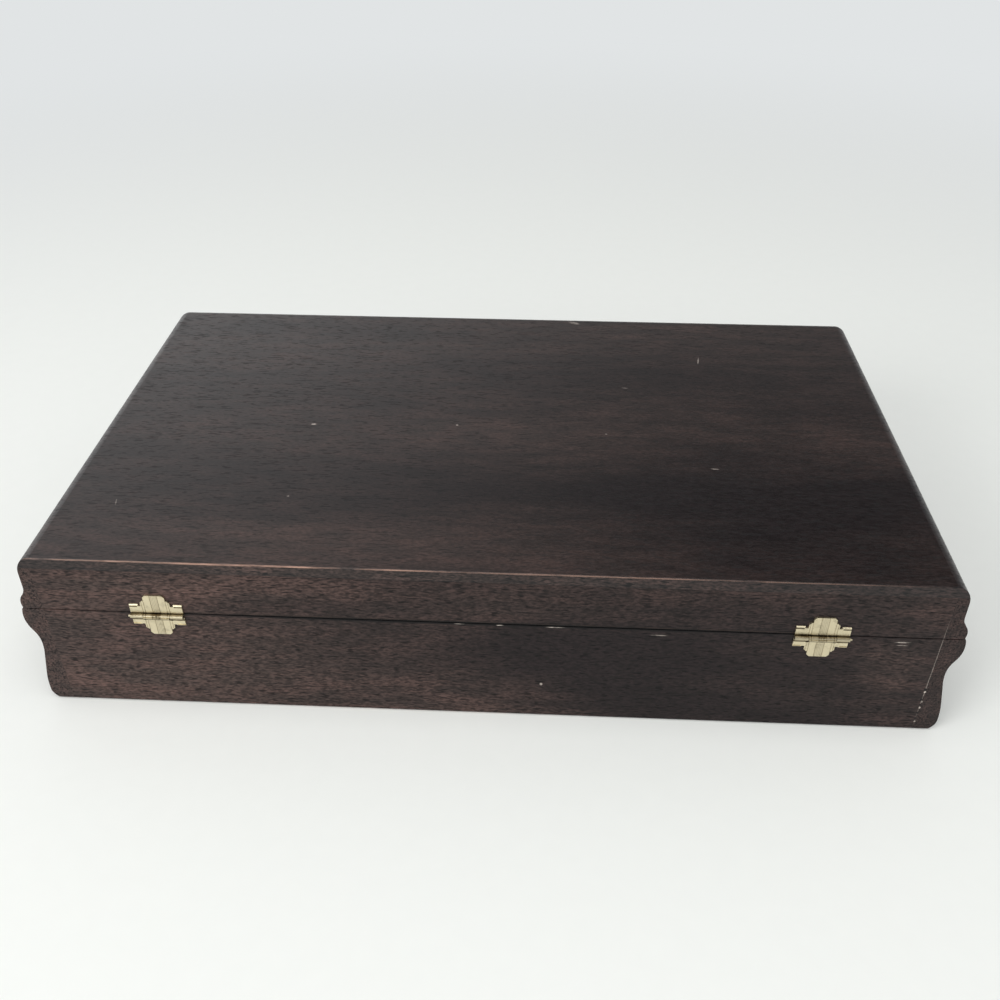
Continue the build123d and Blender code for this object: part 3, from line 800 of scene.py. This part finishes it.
class CHEST_OT_dividers(bpy.types.Operator):
    """Cover the two dividers beside the well with flannel"""

    bl_idname = "chest.dividers"
    bl_label = "Dividers"

    def execute(self, context):
        cloth = context.scene.chest_cloth
        material = flannel("brown_flannel_dividers", cloth.rack, cloth)
        for node in ("left_divider", "right_divider"):
            low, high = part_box(node)
            mesh = covered_board(node + "_cloth", low, high, cloth.swell, min(high - low) / 2)
            add_piece(node + "_cloth", mesh, material, "base", [node])
        return {"FINISHED"}


# count, spacing, width and depth of a rack's slots, and whether the rack hangs with them below
FLATWARE_SLOTS = (8, 0.0072, 0.0032, 0.024, False)
KNIFE_HANDLE_SLOTS = (8, 0.046, 0.0095, 0.014, True)
KNIFE_BLADE_SLOTS = (8, 0.046, 0.0032, 0.0145, True)


class CHEST_OT_racks(bpy.types.Operator):
    """Cover the fork and spoon racks and the knife racks with flannel, tucked into their slots"""

    bl_idname = "chest.racks"
    bl_label = "Racks"

    def execute(self, context):
        cloth = context.scene.chest_cloth
        material = flannel("brown_flannel_racks", cloth.rack, cloth)
        knife_racks = {"knife_handle_rack": KNIFE_HANDLE_SLOTS, "knife_blade_rack": KNIFE_BLADE_SLOTS}
        for node in sorted(frame["nodes"]):
            if not node.endswith("_rack"):
                continue
            count, pitch, width, depth, hanging = knife_racks.get(node, FLATWARE_SLOTS)
            low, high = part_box(node)
            middle = (low[0] + high[0]) / 2
            centres = [middle + (i - (count - 1) / 2) * pitch for i in range(count)]
            mesh = covered_comb(node + "_cloth", low, high, (centres, width, depth), cloth.roll, hanging)
            add_piece(node + "_cloth", mesh, material, body_of(node), [node])
        return {"FINISHED"}


class CHEST_OT_hinges(bpy.types.Operator):
    """Finish the leaves and pins of both hinges in pale plated brass"""

    bl_idname = "chest.hinges"
    bl_label = "Hinges"

    def execute(self, context):
        low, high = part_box("right_hinge_lower_leaf")
        middle_x = (low[0] + high[0]) / 2
        pin_low, pin_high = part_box("right_hinge_pin")
        pin_z = (pin_low[2] + pin_high[2]) / 2
        material = pale_brass("brass_pale_plated_satin", context.scene.chest_brass, middle_x, pin_z)
        paint(material, *[node for node in frame["nodes"] if "hinge" in node])
        return {"FINISHED"}


# name, size, place and aim of each lamp
OVERHEAD = ("overhead_softbox", 2.2, (0.0, 0.8, 2.2), (0, 0, 0.05))
WINDOW = ("window_softbox", 1.2, (1.7, 1.5, 1.3), (0.1, 0.1, 0.05))
FLOOR_RADIUS = 6.0
FLOOR_DROP = 0.0002  # keeps the floor just clear of the chest
# distance at which the floor starts to pass into the surroundings, and at which it has done so
FLOOR_FADE = (0.35, 1.3)


class CHEST_OT_studio(bpy.types.Operator):
    """Set up the pale floor, the soft lamps and the camera"""

    bl_idname = "chest.studio"
    bl_label = "Studio"

    def execute(self, context):
        studio = context.scene.chest_studio
        scene = context.scene
        scene.view_settings.view_transform = "Standard"
        self.add_floor(scene, studio)
        self.add_world(scene, studio)
        self.add_lamp(scene, studio.key_power, *OVERHEAD)
        self.add_lamp(scene, studio.window_power, *WINDOW)
        camera = bpy.data.objects.new("camera", bpy.data.cameras.new("camera"))
        scene.collection.objects.link(camera)
        camera.location = studio.camera_place
        aim = Vector(studio.camera_aim) - Vector(studio.camera_place)
        camera.rotation_euler = aim.to_track_quat("-Z", "Y").to_euler()
        camera.data.sensor_fit = "HORIZONTAL"
        camera.data.sensor_width = 36
        camera.data.lens = studio.camera_lens
        camera.data.clip_start = 0.01
        scene.camera = camera
        return {"FINISHED"}

    def add_floor(self, scene, studio):
        """A wide round sheet of matt board under the chest."""
        shell = bmesh.new()
        bmesh.ops.create_circle(shell, cap_ends=True, segments=96, radius=FLOOR_RADIUS)
        mesh = bpy.data.meshes.new("floor")
        shell.to_mesh(mesh)
        shell.free()
        material, tree, shader, place = start_material("matt_white_board")
        speckle = math_of(tree, "MULTIPLY", patches(tree, place, 0.01, 3.0), 0.03)
        colour = blend(tree, speckle, studio.floor, linear("#808080"))
        tree.links.new(colour, shader.inputs["Base Color"])
        shader.inputs["Roughness"].default_value = 0.75
        # away from the chest the sheet passes into the pale surroundings
        away = add_node(tree, "ShaderNodeVectorMath", {0: place}, operation="LENGTH").outputs["Value"]
        ray = add_node(tree, "ShaderNodeLightPath").outputs
        seen = math_of(tree, "MAXIMUM", ray["Is Camera Ray"], ray["Is Glossy Ray"])
        seen = math_of(tree, "MAXIMUM", seen, ray["Is Transmission Ray"])
        fading = math_of(tree, "MULTIPLY", ramp(tree, away, *FLOOR_FADE), seen)
        glow = add_node(tree, "ShaderNodeEmission", {"Color": studio.wall, "Strength": 1.0}).outputs[0]
        sheet = add_node(tree, "ShaderNodeMixShader", {0: fading, 1: shader.outputs[0], 2: glow})
        tree.links.new(sheet.outputs[0], tree.nodes["Material Output"].inputs["Surface"])
        mesh.materials.append(material)
        floor = bpy.data.objects.new("floor", mesh)
        floor.location.z = -FLOOR_DROP
        scene.collection.objects.link(floor)

    def add_world(self, scene, studio):
        """Pale surroundings: full strength where they are seen, less as fill light.

        In what shines they are white low down and beside the window, and dim towards the other side.
        """
        world = bpy.data.worlds.new("pale_surroundings")
        scene.world = world
        world.use_nodes = True
        tree = world.node_tree
        tree.nodes.clear()
        ray = add_node(tree, "ShaderNodeLightPath").outputs
        towards = add_node(
            tree, "ShaderNodeSeparateXYZ", {0: add_node(tree, "ShaderNodeTexCoord").outputs["Generated"]}
        ).outputs
        walls = ramp(tree, towards["Z"], 0.15, 0.62, 0.9, 0.0)
        window = ramp(tree, towards["X"], -0.36, 0.48, studio.dim_side, 1.9)
        window = math_of(tree, "MULTIPLY", window, ramp(tree, towards["Z"], 0.42, 0.64, 1.0, 0.45))
        mirrored = math_of(tree, "MAXIMUM", walls, window)
        mirrored = math_of(tree, "MULTIPLY", mirrored, ray["Is Glossy Ray"])
        seen = math_of(tree, "MAXIMUM", ray["Is Camera Ray"], ray["Is Transmission Ray"])
        direct = math_of(tree, "MAXIMUM", seen, ray["Is Glossy Ray"])
        filling = ramp(tree, direct, 0.0, 1.0, studio.fill, 0.0)
        strength = math_of(tree, "ADD", math_of(tree, "ADD", seen, mirrored), filling)
        background = add_node(tree, "ShaderNodeBackground", {"Color": studio.wall, "Strength": strength})
        add_node(tree, "ShaderNodeOutputWorld", {"Surface": background.outputs[0]})

    def add_lamp(self, scene, power, name, size, place, aim):
        """One large soft lamp, aimed at the chest."""
        data = bpy.data.lights.new(name, "AREA")
        data.energy = power
        data.size = size
        lamp = bpy.data.objects.new(name, data)
        lamp.location = place
        lamp.rotation_euler = (Vector(aim) - Vector(place)).to_track_quat("-Z", "Y").to_euler()
        lamp.visible_camera = False
        scene.collection.objects.link(lamp)


# ---- panel and registration ----
SETTINGS = {
    "chest_wood": ChestWood,
    "chest_cloth": ChestCloth,
    "chest_brass": ChestBrass,
    "chest_studio": ChestStudio,
}
OPERATORS = (
    CHEST_OT_wooden_case,
    CHEST_OT_bottom,
    CHEST_OT_linings,
    CHEST_OT_dividers,
    CHEST_OT_racks,
    CHEST_OT_hinges,
    CHEST_OT_studio,
)


class CHEST_PT_panel(bpy.types.Panel):
    """Settings and steps of the silverware chest"""

    bl_idname = "CHEST_PT_panel"
    bl_label = "Silverware chest"
    bl_space_type = "VIEW_3D"
    bl_region_type = "UI"
    bl_category = "Chest"

    def draw(self, context):
        for name, group in SETTINGS.items():
            box = self.layout.box()
            box.label(text=group.__doc__)
            for prop in group.__annotations__:
                box.prop(getattr(context.scene, name), prop)
        for operator in OPERATORS:
            self.layout.operator(operator.bl_idname)


def register():
    for group in SETTINGS.values():
        bpy.utils.register_class(group)
    for name, group in SETTINGS.items():
        setattr(bpy.types.Scene, name, bpy.props.PointerProperty(type=group))
    for item in (*OPERATORS, CHEST_PT_panel):
        bpy.utils.register_class(item)


def unregister():
    for item in (CHEST_PT_panel, *reversed(OPERATORS)):
        bpy.utils.unregister_class(item)
    for name, group in SETTINGS.items():
        delattr(bpy.types.Scene, name)
        bpy.utils.unregister_class(group)


def main():
    """Dress the packed model and set up the studio."""
    register()
    bpy.ops.chest.wooden_case()
    bpy.ops.chest.bottom()
    bpy.ops.chest.linings()
    bpy.ops.chest.dividers()
    bpy.ops.chest.racks()
    bpy.ops.chest.hinges()
    bpy.ops.chest.studio()


if __name__ == "__main__":
    main()
